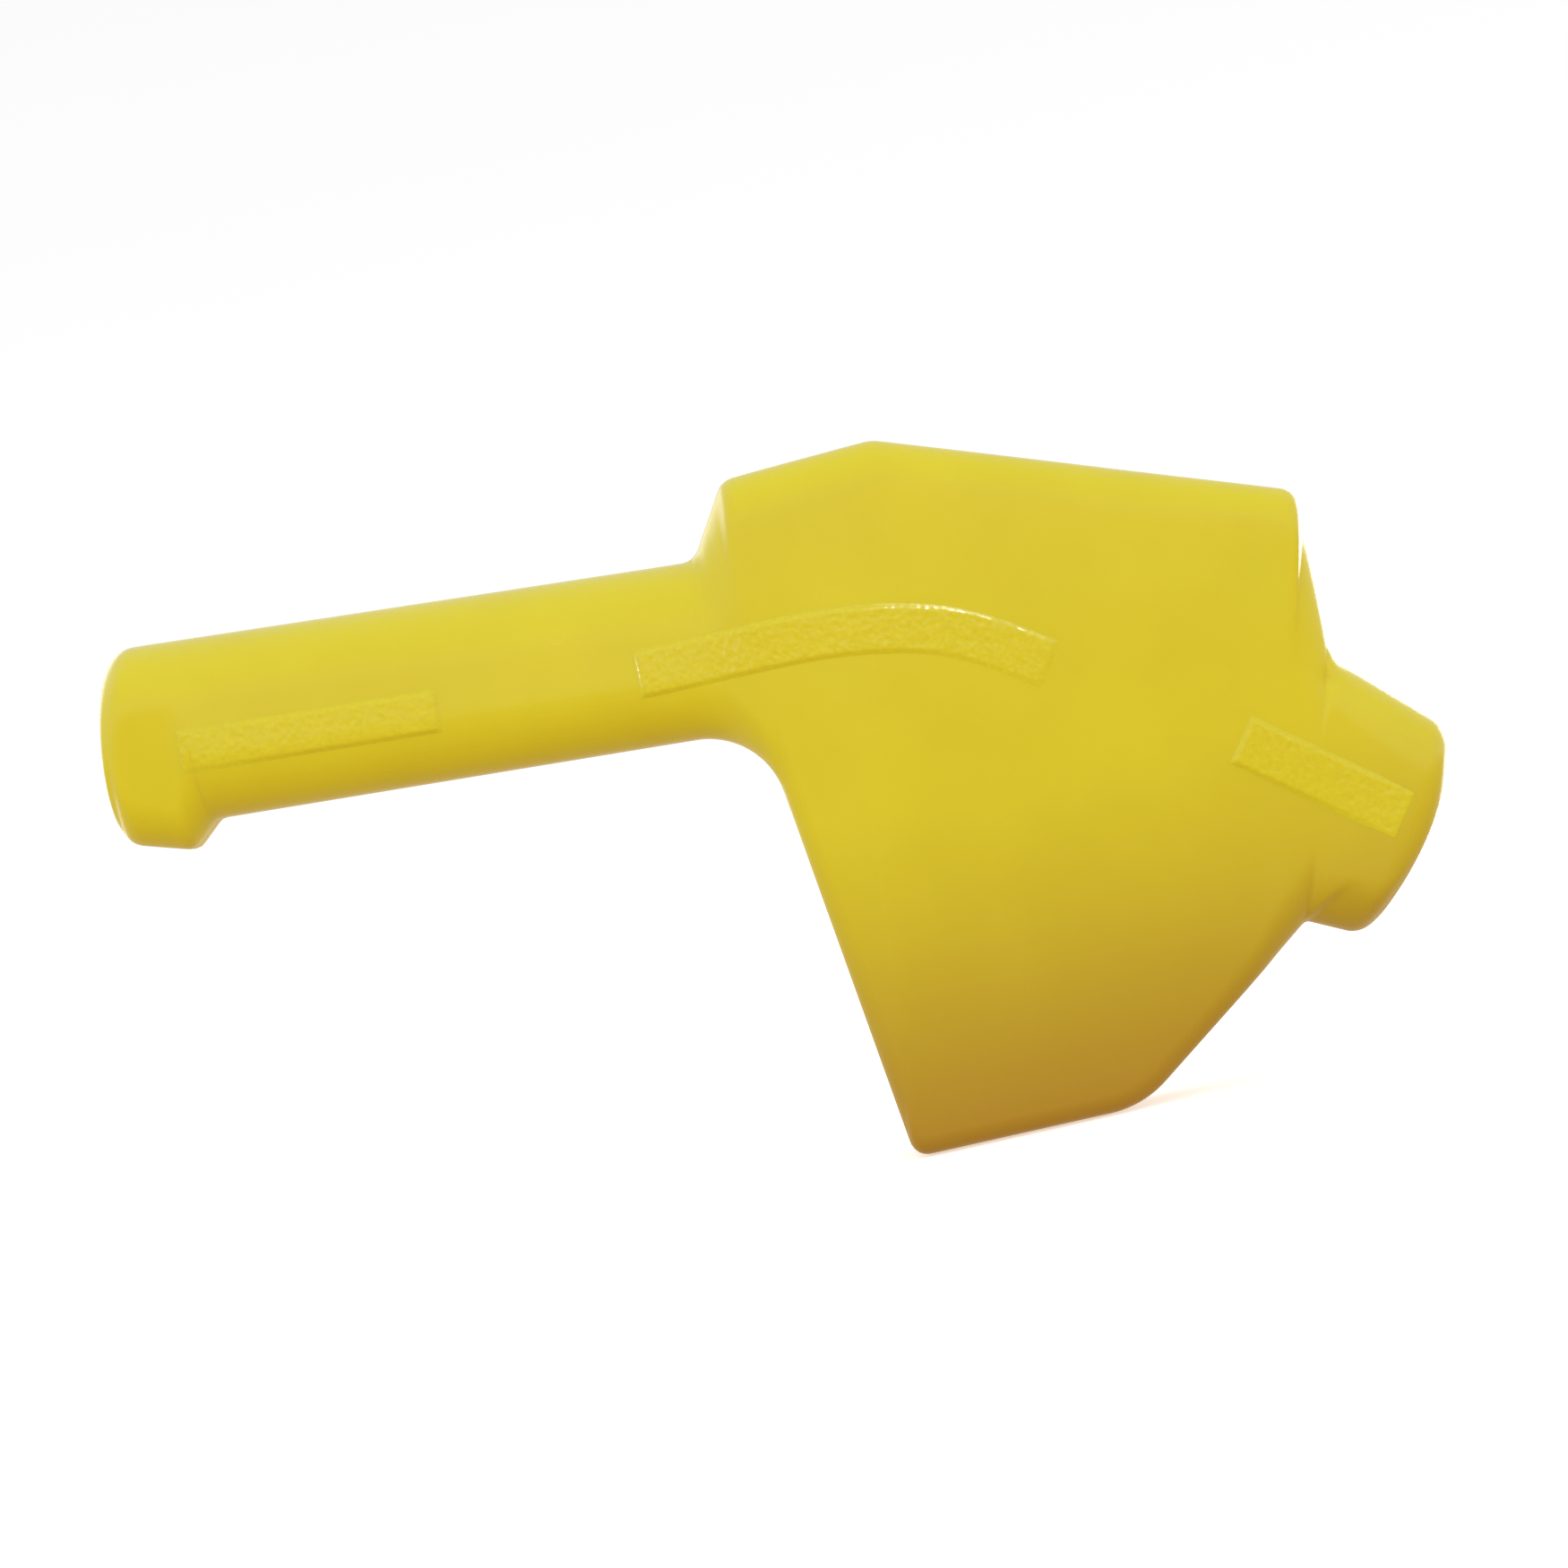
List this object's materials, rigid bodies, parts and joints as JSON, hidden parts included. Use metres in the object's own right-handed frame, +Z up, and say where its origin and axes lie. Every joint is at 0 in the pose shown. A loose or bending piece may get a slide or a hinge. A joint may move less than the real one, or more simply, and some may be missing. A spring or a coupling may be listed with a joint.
{
  "type": "fuel nozzle cover",
  "caption": "Hollow glossy full-grip cover for a fuel nozzle: two mirrored half shells with handle bore, deep lever skirt, slanted spout collar, rear lug, screws and raised label pads.",
  "frame": {"origin": "centre of the overall box in plan, on the plane of the flat foot the cover stands on", "axes": "+X from the hose end to the spout end, +Y to the far side, +Z up from the foot to the roof"},
  "size_m": [0.2804, 0.062, 0.1495],
  "materials": {
    "shell": "glossy moulded yellow vinyl",
    "label_pad": "finely stippled yellow vinyl",
    "screw": "bright zinc plate"
  },
  "bodies": {
    "root": {"near_shell": "shell", "far_shell": "shell", "handle_pad_near": "label_pad", "handle_pad_far": "label_pad", "body_pad_near": "label_pad", "body_pad_far": "label_pad", "collar_pad_near": "label_pad", "collar_pad_far": "label_pad", "screw_shoulder": "screw", "screw_front": "screw", "screw_heel": "screw", "screw_toe": "screw", "screw_hose_end": "screw"}
  },
  "joints": []
}
